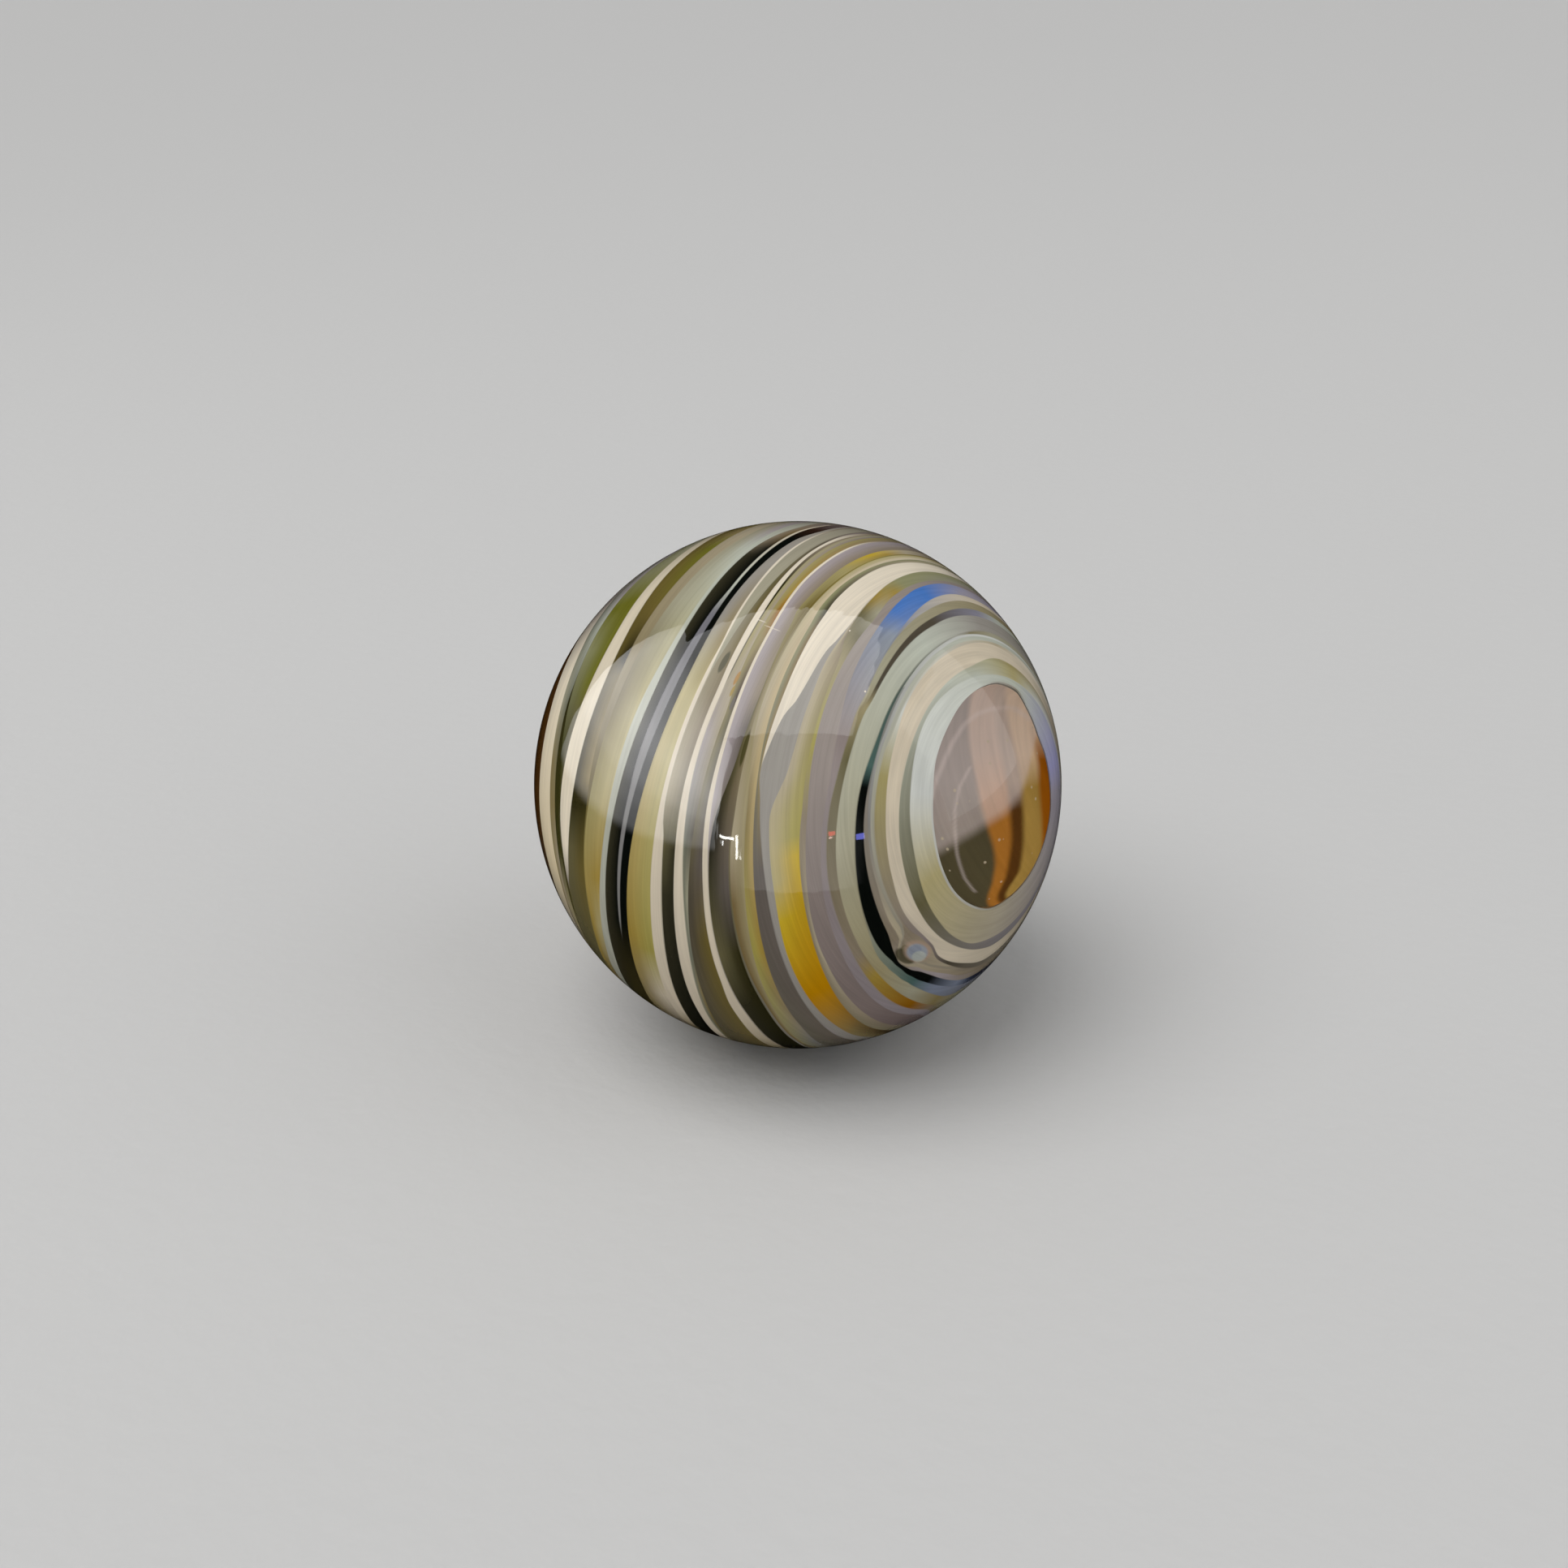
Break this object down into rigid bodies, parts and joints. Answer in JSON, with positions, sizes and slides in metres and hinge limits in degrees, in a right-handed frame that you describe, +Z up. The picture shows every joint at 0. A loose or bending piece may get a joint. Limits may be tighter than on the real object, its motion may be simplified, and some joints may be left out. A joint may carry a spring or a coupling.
{
  "type": "glass marble",
  "caption": "Solid round glass marble wound with thin lines of coloured glass, with one clear window that looks into the middle.",
  "frame": {"origin": "centre of the ball", "axes": "+Z up as it is shown, +X the level heading that the clear window faces"},
  "size_m": [0.029, 0.029, 0.029],
  "materials": {
    "glass": "fire-polished opaque glass in wound lines of many colours",
    "clear_glass": "fire-polished clear glass, seen into through the window"
  },
  "bodies": {
    "root": {"marble": "glass", "window_glass": "clear_glass"}
  },
  "joints": []
}
